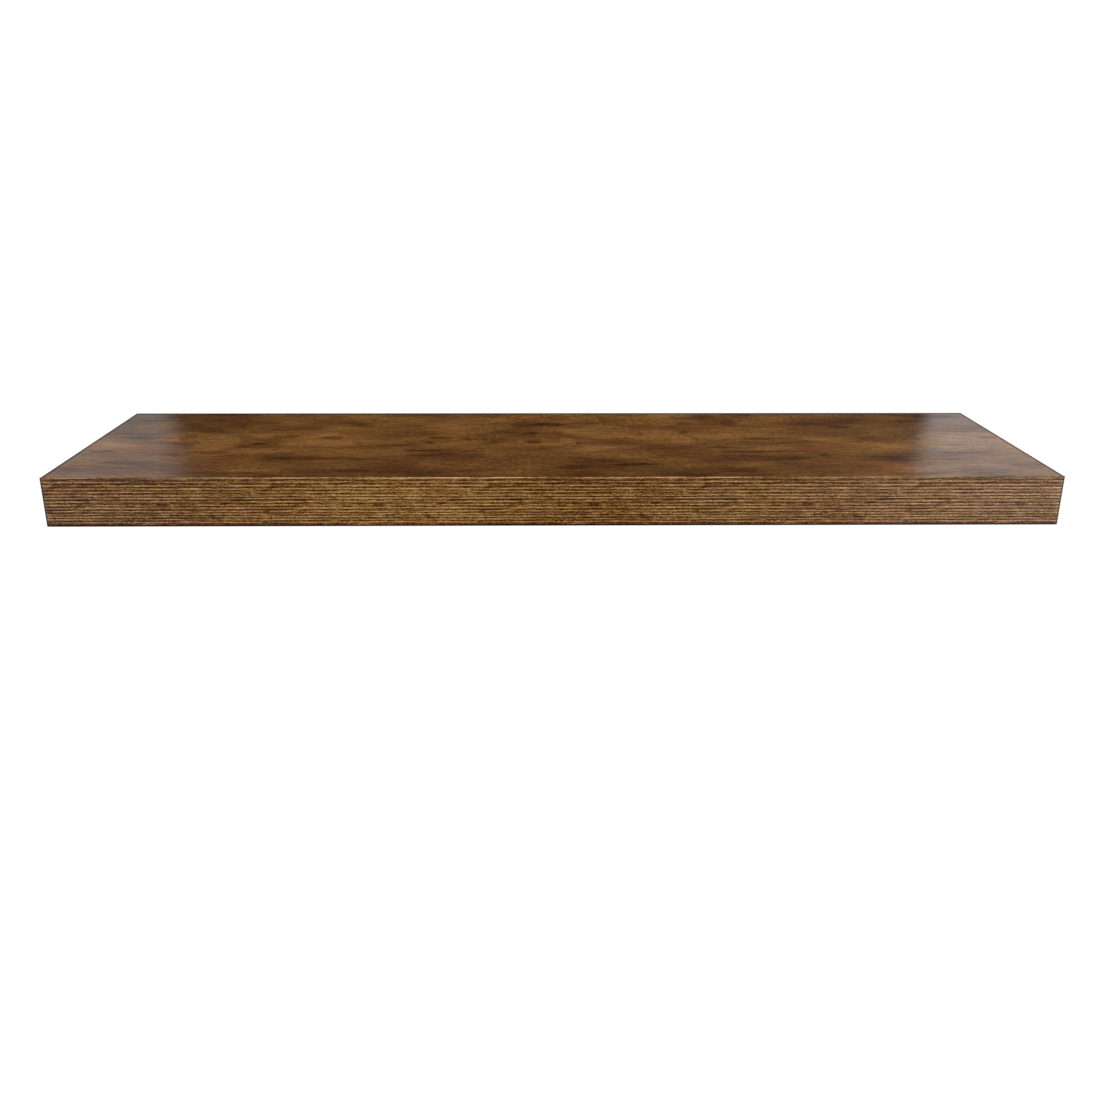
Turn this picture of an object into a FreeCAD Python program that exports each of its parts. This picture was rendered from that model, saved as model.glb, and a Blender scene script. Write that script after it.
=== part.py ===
import FreeCAD, Part
import math
import os

from FreeCAD import Vector

# Floating shelf: a hollow board that slides onto three rods of a hidden wall bracket.
# Millimetres. The wall is the plane Y = 0, the board's front faces -Y and +Z is up.
# The origin is on the wall, at the middle of the board's length and thickness.

# Board, outside
board_length = 900.0
board_depth = 250.0
board_thickness = 45.0

# Skins: a thin panel above and below the frame, each covered with printed foil
foil_thickness = 0.2
panel_thickness = 2.8

# Ribbed edging on the front and both ends
edging_thickness = 1.2
edge_round = 1.0
rib_pitch = 2.9
groove_width = 1.3
groove_depth = 0.25
groove_margin = 1.8

# Frame inside the board
front_rail_width = 36.0
back_rail_width = 20.0
end_rail_width = 30.0
rod_block_width = 60.0

# Paper honeycomb that fills the four bays of the frame
paper_thickness = 0.3
cell_width = 24.0

# Wall bracket: a flat steel plate with rods welded to it
plate_height = 32.0
plate_thickness = 4.0
plate_corner_round = 3.0
rod_radius = 6.0
rod_tip_chamfer = 1.5
rod_end_inset = 110.0
weld_leg = 3.0

# Countersunk holes for the wall screws
wall_hole_radius = 2.75
wall_screw_head_radius = 5.2
wall_hole_end_inset = 40.0

# How the board fits over the bracket
recess_end_wall = 33.8
plate_end_clearance = 5.0
plate_edge_clearance = 1.0
plate_face_clearance = 1.5
rod_clearance = 0.3
rod_tip_gap = 28.8
bore_end_clearance = 6.0
weld_clearance = 1.0

# Locking screws: set screws in threaded inserts, driven up from below against the outer rods
lock_screw_radius = 2.95
lock_screw_recess = 0.2
lock_screw_chamfer = 0.6
lock_screw_distance_from_wall = 50.0
hex_key_width = 3.0
hex_socket_depth = 3.5
thread_clearance = 0.08
insert_wall = 1.5
insert_flange_width = 1.6
insert_flange_thickness = 0.8
insert_flange_clearance = 0.1
insert_to_rod_wood = 4.2
screw_way_clearance = 0.3

# Places and sizes that follow from these
half_length = board_length / 2
half_thickness = board_thickness / 2
frame_end = half_length - edging_thickness
frame_front = edging_thickness - board_depth
frame_top = half_thickness - foil_thickness - panel_thickness
bay_front = frame_front + front_rail_width
bay_back = -back_rail_width

plate_half_length = frame_end - recess_end_wall - plate_end_clearance
plate_front = -plate_thickness
rod_tip = bay_front + rod_tip_gap
bore_radius = rod_radius + rod_clearance
bore_end = rod_tip - bore_end_clearance
outer_rod = plate_half_length - rod_end_inset
inner_hole = outer_rod / 2
outer_hole = plate_half_length - wall_hole_end_inset

lock_y = -lock_screw_distance_from_wall
screw_top = -bore_radius
screw_bottom = lock_screw_recess - half_thickness
insert_bore_radius = lock_screw_radius + thread_clearance
insert_radius = insert_bore_radius + insert_wall
flange_radius = insert_radius + insert_flange_width
insert_top = -bore_radius - insert_to_rod_wood
flange_top = insert_flange_thickness - half_thickness

SIDES = {"left": -1, "right": 1}
ROD_PLACES = {"left": -outer_rod, "middle": 0.0, "right": outer_rod}


def box(x, y, z):
    """A block between the low and the high value of each axis."""
    size = [high - low for low, high in (x, y, z)]
    return Part.makeBox(*size, Vector(x[0], y[0], z[0]))


def rod_shape(x, radius, start, end):
    """A round bar along Y at height 0, from start out to end."""
    return Part.makeCylinder(radius, start - end, Vector(x, start, 0), Vector(0, -1, 0))


def post_shape(x, radius, low, high):
    """A round bar along Z at a locking screw's place."""
    return Part.makeCylinder(radius, high - low, Vector(x, lock_y, low))


def turned(points, centre, axis):
    """A solid of revolution of one closed outline about an axis."""
    outline = Part.makePolygon(points + points[:1])
    return Part.Face(outline).revolve(centre, axis, 360)


def save(name, shape):
    shape.exportStep(f"parts/{name}.step")


# Edging


def edging_outline(place):
    """Cross-section of the edging; place turns (distance out from the frame, height) into a point."""
    curve = min(edge_round, 0.9 * edging_thickness)
    curve_middle = curve * (1 - math.sqrt(0.5))
    face_end = half_thickness - curve
    groove_count = int((board_thickness - 2 * groove_margin) / rib_pitch) + 1
    face = [(edging_thickness, -face_end)]
    for groove in range(groove_count):
        middle = (groove - (groove_count - 1) / 2) * rib_pitch
        half_mouth = groove_width / 2
        half_floor = half_mouth - groove_depth
        floor = edging_thickness - groove_depth
        face.append((edging_thickness, middle - half_mouth))
        face.append((floor, middle - half_floor))
        face.append((floor, middle + half_floor))
        face.append((edging_thickness, middle + half_mouth))
    face.append((edging_thickness, face_end))

    edges = [Part.makePolygon([place(*point) for point in face])]
    for up in (-1, 1):
        flat_end = place(edging_thickness - curve, up * half_thickness)
        on_curve = place(edging_thickness - curve_middle, up * (half_thickness - curve_middle))
        face_corner = place(edging_thickness, up * face_end)
        edges.append(Part.Arc(flat_end, on_curve, face_corner).toShape())
        edges.append(Part.makeLine(place(0, up * half_thickness), flat_end))
    edges.append(Part.makeLine(place(0, -half_thickness), place(0, half_thickness)))
    loose = [edge for part in edges for edge in part.Edges]
    return Part.Face(Part.Wire(Part.__sortEdges__(loose)))


def rounded_plan():
    """The board's whole block with its two front upright corners rounded."""
    block = box((-half_length, half_length), (-board_depth, 0), (-half_thickness, half_thickness))
    corners = [
        edge
        for edge in block.Edges
        if edge.BoundBox.YMax < -board_depth / 2 and edge.BoundBox.ZLength > board_thickness / 2
    ]
    return block.makeFillet(min(edge_round, 0.9 * edging_thickness), corners)


def make_front_edging():
    outline = edging_outline(lambda out, z: Vector(-half_length, frame_front - out, z))
    strip = outline.extrude(Vector(board_length, 0, 0))
    save("front_edging", strip.common(rounded_plan()).Solids[0])


def make_end_edging(name, side):
    outline = edging_outline(lambda out, z: Vector(side * (frame_end + out), frame_front, z))
    save(f"{name}_edging", outline.extrude(Vector(0, -frame_front, 0)))


# Skins


def lock_openings(radius, low, high):
    """Round bars at both locking screws, to cut what they pass through."""
    return [post_shape(side * outer_rod, radius, low, high) for side in SIDES.values()]


def make_skins():
    plan = (-frame_end, frame_end), (frame_front, 0)
    panel_outside = half_thickness - foil_thickness
    flange_seat = flange_radius + insert_flange_clearance

    save("top_foil", box(*plan, (panel_outside, half_thickness)))
    save("top_panel", box(*plan, (frame_top, panel_outside)))

    foil = box(*plan, (-half_thickness, -panel_outside))
    save("bottom_foil", foil.cut(lock_openings(flange_seat, -half_thickness, -panel_outside)))

    panel = box(*plan, (-panel_outside, -frame_top))
    panel = panel.cut(lock_openings(flange_seat, -half_thickness, flange_top))
    save("bottom_panel", panel.cut(lock_openings(insert_radius, -half_thickness, -frame_top)))


# Frame


def make_rails():
    height = -frame_top, frame_top
    save("front_rail", box((-frame_end, frame_end), (frame_front, bay_front), height))

    back_rail = box((-frame_end, frame_end), (bay_back, 0), height)
    recess_end = plate_half_length + plate_end_clearance
    recess_edge = plate_height / 2 + plate_edge_clearance
    recess_floor = plate_front - plate_face_clearance
    cuts = [box((-recess_end, recess_end), (recess_floor, 0), (-recess_edge, recess_edge))]
    weld_room = weld_leg + weld_clearance
    for x in ROD_PLACES.values():
        cuts.append(rod_shape(x, bore_radius, 0, bay_back))
        cuts.append(rod_shape(x, rod_radius + weld_room, 0, plate_front - weld_room))
    save("back_rail", back_rail.cut(cuts).Solids[0])

    for name, side in SIDES.items():
        across = sorted((side * frame_end, side * (frame_end - end_rail_width)))
        save(f"{name}_end_rail", box(across, (bay_front, bay_back), height))


def make_rod_blocks():
    """The blocks that hold the rods; the outer two also hold the locking inserts."""
    for name, x in ROD_PLACES.items():
        across = x - rod_block_width / 2, x + rod_block_width / 2
        block = box(across, (bay_front, bay_back), (-frame_top, frame_top))
        cuts = [rod_shape(x, bore_radius, bay_back, bore_end)]
        if name in SIDES:
            way_radius = lock_screw_radius + screw_way_clearance
            cuts.append(post_shape(x, insert_radius, -frame_top, insert_top))
            cuts.append(post_shape(x, way_radius, -frame_top, 0))
        save(f"{name}_rod_block", block.cut(cuts).Solids[0])


# Honeycomb


def paper_strip(left, width, low, rise, first_turn):
    """One folded strip of paper across a bay, seen from above.

    It runs along X between two levels that are a rise apart, flat for a third of each fold and
    sloping for a sixth. first_turn is 1 if it starts on the lower level and -1 on the upper one.
    """
    fold_count = max(1, round(width / (cell_width * math.sqrt(3))))
    fold = width / fold_count
    slope = math.atan2(rise, fold / 6)
    shift = paper_thickness / 2 * math.tan(slope / 2)
    middle = low + (paper_thickness + rise) / 2
    behind = []
    ahead = []

    def add(x, level, turn):
        y = middle + level * rise / 2
        behind.append(Vector(x - turn * shift, y + paper_thickness / 2, -frame_top))
        ahead.append(Vector(x + turn * shift, y - paper_thickness / 2, -frame_top))

    add(left, -first_turn, 0)
    for number in range(fold_count):
        start = left + number * fold
        add(start + fold / 6, -first_turn, first_turn)
        add(start + fold / 3, first_turn, first_turn)
        add(start + 2 * fold / 3, first_turn, -first_turn)
        add(start + 5 * fold / 6, -first_turn, -first_turn)
    add(left + width, -first_turn, 0)

    outline = behind + ahead[::-1]
    return Part.Face(Part.makePolygon(outline + outline[:1]))


def make_core(name, left, right):
    """Folded strips glued flat to flat, which leave six-sided cells and fill one bay."""
    depth = bay_back - bay_front
    strip_count = max(2, round(depth / (cell_width / 2)))
    rise = depth / strip_count - paper_thickness
    strips = []
    for number in range(strip_count):
        low = bay_front + number * (rise + paper_thickness)
        face = paper_strip(left, right - left, low, rise, 1 if number % 2 == 0 else -1)
        strips.append(face.extrude(Vector(0, 0, 2 * frame_top)))
    core = strips[0].multiFuse(strips[1:]).removeSplitter()
    save(name, core.Solids[0])


def make_cores():
    block_half = rod_block_width / 2
    end_bay = outer_rod + block_half, frame_end - end_rail_width
    main_bay = block_half, outer_rod - block_half
    for name, side in SIDES.items():
        for bay_name, ends in (("end_core", end_bay), ("core", main_bay)):
            left, right = sorted(side * end for end in ends)
            make_core(f"{name}_{bay_name}", left, right)


# Wall bracket


def make_plate():
    across = -plate_half_length, plate_half_length
    plate = box(across, (plate_front, 0), (-plate_height / 2, plate_height / 2))
    corners = [edge for edge in plate.Edges if edge.BoundBox.YLength > plate_thickness / 2]
    plate = plate.makeFillet(plate_corner_round, corners)
    countersink_depth = wall_screw_head_radius - wall_hole_radius
    forward = Vector(0, -1, 0)
    for x in (-outer_hole, -inner_hole, inner_hole, outer_hole):
        hole = rod_shape(x, wall_hole_radius, 0, plate_front)
        mouth = Vector(x, plate_front + countersink_depth, 0)
        countersink = Part.makeCone(
            wall_hole_radius, wall_screw_head_radius, countersink_depth, mouth, forward
        )
        plate = plate.cut([hole, countersink])
    save("bracket_plate", plate.Solids[0])


def make_rods():
    for name, x in ROD_PLACES.items():
        centre = Vector(x, 0, 0)
        tip_flat = rod_radius - rod_tip_chamfer
        rod_outline = [
            Vector(x, plate_front, 0),
            Vector(x + rod_radius, plate_front, 0),
            Vector(x + rod_radius, rod_tip + rod_tip_chamfer, 0),
            Vector(x + tip_flat, rod_tip, 0),
            Vector(x, rod_tip, 0),
        ]
        save(f"{name}_rod", turned(rod_outline, centre, Vector(0, 1, 0)))

        weld_outline = [
            Vector(x + rod_radius, plate_front, 0),
            Vector(x + rod_radius + weld_leg, plate_front, 0),
            Vector(x + rod_radius, plate_front - weld_leg, 0),
        ]
        save(f"{name}_weld", turned(weld_outline, centre, Vector(0, 1, 0)))


# Locking screws


def make_lock(name, x):
    centre = Vector(x, lock_y, 0)
    up = Vector(0, 0, 1)

    def outline(pairs):
        return [Vector(x + radius, lock_y, z) for radius, z in pairs]

    insert = outline(
        [
            (insert_bore_radius, -half_thickness),
            (flange_radius, -half_thickness),
            (flange_radius, flange_top),
            (insert_radius, flange_top),
            (insert_radius, insert_top),
            (insert_bore_radius, insert_top),
        ]
    )
    save(f"{name}_lock_insert", turned(insert, centre, up))

    end_radius = lock_screw_radius - lock_screw_chamfer
    screw = outline(
        [
            (0, screw_bottom),
            (end_radius, screw_bottom),
            (lock_screw_radius, screw_bottom + lock_screw_chamfer),
            (lock_screw_radius, screw_top - lock_screw_chamfer),
            (end_radius, screw_top),
            (0, screw_top),
        ]
    )
    socket_corner = hex_key_width / math.sqrt(3)
    corners = []
    for number in range(6):
        angle = math.radians(60 * number)
        reach = Vector(math.cos(angle), math.sin(angle), 0) * socket_corner
        corners.append(Vector(x, lock_y, screw_bottom) + reach)
    socket = Part.Face(Part.makePolygon(corners + corners[:1])).extrude(up * hex_socket_depth)
    save(f"{name}_lock_screw", turned(screw, centre, up).cut(socket).Solids[0])


os.makedirs("parts", exist_ok=True)
make_skins()
make_front_edging()
make_rails()
make_rod_blocks()
make_cores()
make_plate()
make_rods()
for side_name, side in SIDES.items():
    make_end_edging(side_name, side)
    make_lock(side_name, side * outer_rod)
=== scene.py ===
import math

import bmesh
import bpy
from mathutils import Matrix, Vector, noise


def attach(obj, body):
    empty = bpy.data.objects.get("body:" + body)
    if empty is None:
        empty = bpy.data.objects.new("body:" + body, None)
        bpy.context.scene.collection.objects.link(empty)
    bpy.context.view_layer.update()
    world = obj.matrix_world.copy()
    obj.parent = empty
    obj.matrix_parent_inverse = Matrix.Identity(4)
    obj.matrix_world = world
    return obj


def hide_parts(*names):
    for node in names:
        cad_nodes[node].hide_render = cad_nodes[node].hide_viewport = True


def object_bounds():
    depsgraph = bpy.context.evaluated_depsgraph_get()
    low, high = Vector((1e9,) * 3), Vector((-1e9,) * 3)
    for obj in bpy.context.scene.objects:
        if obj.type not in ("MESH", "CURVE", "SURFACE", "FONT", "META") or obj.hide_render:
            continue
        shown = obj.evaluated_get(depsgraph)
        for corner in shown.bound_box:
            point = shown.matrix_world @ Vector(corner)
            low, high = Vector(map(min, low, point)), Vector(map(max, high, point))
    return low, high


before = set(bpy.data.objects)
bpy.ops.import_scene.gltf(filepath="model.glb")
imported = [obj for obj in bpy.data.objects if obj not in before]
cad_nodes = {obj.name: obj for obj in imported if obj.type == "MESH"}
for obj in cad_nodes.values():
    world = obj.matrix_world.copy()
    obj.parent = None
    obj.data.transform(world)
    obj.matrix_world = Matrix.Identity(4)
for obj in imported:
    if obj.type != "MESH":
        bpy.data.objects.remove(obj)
cad_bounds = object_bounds()


# Camera
# It stands a little left of the shelf's middle, 1.17 m from the wall and 0.29 m above the middle of
# the board, and looks down on it by 20 degrees. The picture is square.

camera_place = (-0.0207, -1.1725, 0.2907)
turn_right, look_down, roll = (math.radians(angle) for angle in (0.97, 20.01, 0.18))
camera_data = bpy.data.cameras.new("camera")
camera_data.sensor_width = 36
camera_data.lens = 35.8
camera = bpy.data.objects.new("camera", camera_data)
bpy.context.scene.collection.objects.link(camera)
camera.matrix_world = (
    Matrix.Translation(camera_place)
    @ Matrix.Rotation(-turn_right, 4, "Z")
    @ Matrix.Rotation(math.radians(90) - look_down, 4, "X")
    @ Matrix.Rotation(roll, 4, "Z")
)
bpy.context.scene.camera = camera
bpy.context.scene.view_settings.view_transform = "Standard"


# Studio
# A white surround, a pale floor far below the shelf and four soft lamps. The surround and the floor
# are white to the camera and in reflections, and light the shelf at a plain level.

WHITE = (1, 1, 1, 1)
pale_grey = (0.86, 0.86, 0.86, 1)
floor_level = -1.6
floor_size = 40.0


def node(tree, kind, inputs=None, **settings):
    """Adds a shader node. An input that is given a socket is linked, and any other is set."""
    made = tree.nodes.new(f"ShaderNode{kind}")
    for name, value in settings.items():
        setattr(made, name, value)
    for key, value in (inputs or {}).items():
        if isinstance(value, bpy.types.NodeSocket):
            tree.links.new(value, made.inputs[key])
        else:
            made.inputs[key].default_value = value
    return made


def maths(tree, operation, first, second=0.0, clamp=False):
    """One step of arithmetic on two values, either of which may be a socket."""
    made = node(tree, "Math", {0: first, 1: second}, operation=operation, use_clamp=clamp)
    return made.outputs[0]


def times(tree, first, second):
    """The product of two values."""
    return maths(tree, "MULTIPLY", first, second)


def new_material(name):
    """An empty node material and its tree."""
    material = bpy.data.materials.new(name)
    material.use_nodes = True
    material.node_tree.nodes.clear()
    return material, material.node_tree


def seen_directly(tree):
    """1 for rays from the camera and for those that a shiny or clear surface sends on."""
    path = node(tree, "LightPath").outputs
    camera_or_gloss = maths(tree, "MAXIMUM", path["Is Camera Ray"], path["Is Glossy Ray"])
    return maths(tree, "MAXIMUM", camera_or_gloss, path["Is Transmission Ray"])


def new_piece(name, shape, material):
    """Turns a bmesh into an object of one material."""
    mesh = bpy.data.meshes.new(name)
    shape.to_mesh(mesh)
    shape.free()
    mesh.materials.append(material)
    piece = bpy.data.objects.new(name, mesh)
    bpy.context.scene.collection.objects.link(piece)
    return piece


def flat_card(name, width, height, place, material):
    """A rectangle for the stage, flat at first and then moved by place."""
    shape = bmesh.new()
    bmesh.ops.create_grid(shape, x_segments=1, y_segments=1, size=0.5)
    bmesh.ops.scale(shape, vec=(width, height, 1), verts=shape.verts)
    bmesh.ops.transform(shape, matrix=place, verts=shape.verts)
    card = new_piece(name, shape, material)
    return card


world = bpy.data.worlds.new("surround")
world.use_nodes = True
tree = world.node_tree
tree.nodes.clear()
bpy.context.scene.world = world
soft_fill = node(tree, "Background", {"Color": WHITE, "Strength": 0.5})
backdrop = node(tree, "Background", {"Color": WHITE, "Strength": 1.0})
surround = node(
    tree, "MixShader", {0: seen_directly(tree), 1: soft_fill.outputs[0], 2: backdrop.outputs[0]}
)
node(tree, "OutputWorld", {"Surface": surround.outputs[0]})

# The floor glows a little over white where it is seen directly, and is matt in every other way
floor_material, tree = new_material("pale_floor")
matt = node(tree, "BsdfDiffuse", {"Color": pale_grey})
glow = node(tree, "Emission", {"Color": WHITE, "Strength": 1.07})
glow_share = times(tree, seen_directly(tree), 0.9)
mixed = node(tree, "MixShader", {0: glow_share, 1: matt.outputs[0], 2: glow.outputs[0]})
node(tree, "OutputMaterial", {"Surface": mixed.outputs[0]})
flat_card("floor", floor_size, floor_size, Matrix.Translation((0, 0, floor_level)), floor_material)

# name, place, side of the square lamp, watts
LAMPS = (
    ("front_lamp", (0.5, -2.3, 1.35), 1.5, 44.0),
    ("top_lamp", (-0.5, -0.7, 2.2), 1.5, 34.0),
    ("left_lamp", (-2.5, 0.1, -0.15), 1.0, 18.0),
    ("right_lamp", (2.5, 0.1, -0.15), 1.0, 18.0),
)
for name, place, side, watts in LAMPS:
    lamp_data = bpy.data.lights.new(name, "AREA")
    lamp_data.size = side
    lamp_data.energy = watts
    lamp = bpy.data.objects.new(name, lamp_data)
    lamp.location = place
    lamp.rotation_mode = "QUATERNION"
    lamp.rotation_quaternion = (-Vector(place)).to_track_quat("-Z", "Y")
    lamp.visible_glossy = False
    bpy.context.scene.collection.objects.link(lamp)


# Reflected cards
# What the satin foil and the edging mirror: a dark panel behind the shelf with light at both
# sides of it, and a dark room behind the camera. Only reflections see them.

cool_white = (0.985, 0.99, 1.015, 1.0)
brightest = 6.0
ramp_reach = 1.2
shelf_top_level = 0.0226
beside_shelf = 0.4505
room_floor = floor_level + 0.01
room_height = 5.0
behind = 0.004
in_front = -1.35
# Distance from the middle to the right, and brightness there
BACK_LIGHT = (
    (-0.428, 0.455), (-0.402, 0.012), (0.1, 0.012), (0.4, 0.05), (0.409, 0.08), (0.419, 0.7),
)
FRONT_LIGHT = (
    (-1.0, 1.8), (-0.5, 0.14), (-0.1, 0.0), (0.1, 0.0), (0.58, 1.1), (0.83, 2.5), (1.1, 4.6),
)
UPPER_LIGHT = ((-1.0, 0.25), (-0.3, 0.04), (0.3, 0.04), (1.0, 0.25))
SIDE_LIGHT = ((-1.0, 0.02), (1.0, 0.02))
# name, left end, right end, bottom, top, distance behind the wall's face, light. The two cards
# beside the shelf end at the level of its top, and its rounded edges mirror them.
CARDS = (
    ("back_card", -2.0, 2.0, shelf_top_level, 0.7, behind, BACK_LIGHT),
    ("lower_front_card", -6.0, 6.0, room_floor, 0.0, in_front, FRONT_LIGHT),
    ("upper_front_card", -6.0, 6.0, 0.0, room_height, in_front, UPPER_LIGHT),
    ("left_side_card", -3.0, -beside_shelf, room_floor, shelf_top_level, behind, SIDE_LIGHT),
    ("right_side_card", beside_shelf, 3.0, room_floor, shelf_top_level, behind, SIDE_LIGHT),
)


def own_place(tree):
    """Places on a piece, in metres of the shelf's frame."""
    return node(tree, "TexCoord").outputs["Object"]


def ramp(tree, value, stops):
    """Colours at given values, blended evenly between them."""
    made = node(tree, "ValToRGB", {"Fac": value})
    elements = made.color_ramp.elements
    while len(elements) < len(stops):
        elements.new(0.5)
    for element, (position, colour) in zip(elements, stops):
        element.position = position
        element.color = colour
    return made.outputs["Color"]


def only_mirrored(card):
    """Hides a card from all but reflections."""
    card.visible_camera = False
    card.visible_diffuse = False
    card.visible_shadow = False
    card.visible_transmission = False


def reflected_card(name, left, right, bottom, top, y, lights):
    """An upright card that only shiny surfaces see. Its brightness changes from left to right."""
    material, tree = new_material(name)
    across = node(tree, "SeparateXYZ", {0: own_place(tree)}).outputs["X"]
    share = maths(tree, "DIVIDE", maths(tree, "ADD", across, ramp_reach), 2 * ramp_reach)
    stops = []
    for distance, brightness in lights:
        grey = (brightness / brightest,) * 3 + (1.0,)
        stops.append(((distance + ramp_reach) / (2 * ramp_reach), grey))
    strength = times(tree, ramp(tree, share, stops), brightest)
    glow = node(tree, "Emission", {"Color": cool_white, "Strength": strength})
    node(tree, "OutputMaterial", {"Surface": glow.outputs[0]})
    centre = ((left + right) / 2, y, (bottom + top) / 2)
    upright = Matrix.Translation(centre) @ Matrix.Rotation(math.radians(90), 4, "X")
    only_mirrored(flat_card(name, right - left, top - bottom, upright, material))


for card in CARDS:
    reflected_card(*card)

# A dark sheet on the floor under the shelf, which only reflections see: what faces down mirrors it
# dark
sheet_width, sheet_depth = 12.0, 3.0
sheet_material, tree = new_material("floor_sheet")
glow = node(tree, "Emission", {"Strength": 0.02})
node(tree, "OutputMaterial", {"Surface": glow.outputs[0]})
sheet_place = Matrix.Translation((0, in_front + sheet_depth / 2, room_floor))
only_mirrored(flat_card("floor_sheet", sheet_width, sheet_depth, sheet_place, sheet_material))


# Top and bottom foil
# Printed paper foil with a satin lacquer, glued over the panels. The print is a mottled brown wood
# with dark dashes, a few knots and golden patches; the underside shows another part of the roll.

half_length = 0.45
edging_thickness = 0.0012
foil_front = cad_bounds[0].y + edging_thickness
foil_end = cad_bounds[1].x - edging_thickness


def paint(red, green, blue):
    """A colour of 0 to 255 values, as a paint chart gives it."""
    values = []
    for part in (red, green, blue):
        part = part / 255
        values.append(part / 12.92 if part <= 0.04045 else ((part + 0.055) / 1.055) ** 2.4)
    return (*values, 1.0)


def cloud(tree, place, size, detail=2.0, rough=0.5, shift=(0, 0, 0)):
    """Soft noise from 0 to 1 whose blobs are about size (x, y, z) metres across."""
    scale = tuple(1 / length for length in size)
    moved = node(tree, "Mapping", {"Vector": place, "Location": shift, "Scale": scale})
    inputs = {"Vector": moved.outputs[0], "Scale": 1.0, "Detail": detail, "Roughness": rough}
    return node(tree, "TexNoise", inputs).outputs["Fac"]


def fade(tree, value, start, end, low=0.0, high=1.0):
    """Goes smoothly from low to high as the value goes from start to end."""
    inputs = {"Value": value, "From Min": start, "From Max": end, "To Min": low, "To Max": high}
    return node(tree, "MapRange", inputs, interpolation_type="SMOOTHSTEP").outputs["Result"]


def blend(tree, share, under, over, way="MIX"):
    """Lays one colour over another."""
    inputs = {0: share, 6: under, 7: over}
    return node(tree, "Mix", inputs, data_type="RGBA", blend_type=way).outputs[2]


def tinted(tree, colour, share, tint):
    """The colour, multiplied by a tint where the share is 1."""
    return blend(tree, share, colour, tint, "MULTIPLY")


def ragged(tree, place, size, reach):
    """The place, pushed about by noise, so that what is drawn there gets an uneven outline."""
    inputs = {"Vector": place, "Scale": 1 / size, "Detail": 3.0}
    colour = node(tree, "TexNoise", inputs).outputs["Color"]
    round_zero = node(tree, "VectorMath", {0: colour, 1: (0.5, 0.5, 0.5)}, operation="SUBTRACT")
    push = node(tree, "VectorMath", {0: round_zero.outputs[0], 1: reach}, operation="MULTIPLY")
    moved = node(tree, "VectorMath", {0: place, 1: push.outputs[0]}, operation="ADD")
    return moved.outputs[0]


def centred(tree, value, strength):
    """Noise round 0, where it was round 0.5."""
    return times(tree, maths(tree, "SUBTRACT", value, 0.5), strength)


def noise_sum(tree, start, parts, clamp=False):
    """Noises of different strengths, added up round a starting value."""
    total = start
    for part, strength in parts:
        total = maths(tree, "ADD", centred(tree, part, strength), total, clamp)
    return total


def relief(tree, height, strength, distance):
    """The normal of a surface with fine bumps, distance metres high."""
    inputs = {"Height": height, "Strength": strength, "Distance": distance}
    return node(tree, "Bump", inputs).outputs[0]


def set_surface(tree, inputs):
    """Ends a material with its surface shader."""
    surface = node(tree, "BsdfPrincipled", inputs)
    node(tree, "OutputMaterial", {"Surface": surface.outputs[0]})


def new_group(name, inputs, outputs):
    """A node group with its sockets, and the group's input and output nodes."""
    group = bpy.data.node_groups.new(name, "ShaderNodeTree")
    for socket_name, kind in inputs:
        group.interface.new_socket(socket_name, in_out="INPUT", socket_type=f"NodeSocket{kind}")
    for socket_name, kind in outputs:
        group.interface.new_socket(socket_name, in_out="OUTPUT", socket_type=f"NodeSocket{kind}")
    return group, group.nodes.new("NodeGroupInput"), group.nodes.new("NodeGroupOutput")


def use_group(tree, group, inputs):
    """Places a node group in a tree, with its inputs set or linked."""
    return node(tree, "Group", inputs, node_tree=group).outputs


# A stain is an oval mark of the print, torn along the grain by the raggedness that it is given. It
# is laid over the mask of earlier stains, which shift it by a hair, so that the renderer works the
# stains out one after another and doesn't run out of room for them.
STAIN_INPUTS = (
    ("Vector", "Vector"),
    ("Centre", "Vector"),
    ("Reach", "Vector"),
    ("Raggedness", "Float"),
    ("Strength", "Float"),
    ("Earlier", "Float"),
)
hair = (0.0002, 0.0, 0.0)
stain, stain_in, stain_out = new_group("stain", STAIN_INPUTS, [("Mask", "Float")])
given = stain_in.outputs
shift = {0: given["Earlier"], 1: hair, 2: given["Vector"]}
shifted = node(stain, "VectorMath", shift, operation="MULTIPLY_ADD").outputs[0]
oval = {"Vector": shifted, "Location": given["Centre"], "Scale": given["Reach"]}
oval_place = node(stain, "Mapping", oval, vector_type="TEXTURE").outputs[0]
oval_distance = node(stain, "VectorMath", {0: oval_place}, operation="LENGTH").outputs["Value"]
torn_distance = maths(stain, "ADD", oval_distance, given["Raggedness"])
mark = times(stain, fade(stain, torn_distance, 0.99, 0.8), given["Strength"])
stain.links.new(maths(stain, "MAXIMUM", mark, given["Earlier"]), stain_out.inputs[0])


def stains(tree, place, raggedness, rows, origin):
    """One mask for all the stains in rows, whose distances are across and down from the origin."""
    mask = 0.0
    for across, down, half_run, half_width, strength in rows:
        sockets = {
            "Vector": place,
            "Centre": (origin[0] + across / 1000, origin[1] - down / 1000, 0),
            "Reach": (half_run / 1000, half_width / 1000, 1.0),
            "Raggedness": raggedness,
            "Strength": strength,
            "Earlier": mask,
        }
        mask = use_group(tree, stain, sockets)["Mask"]
    return mask


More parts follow.
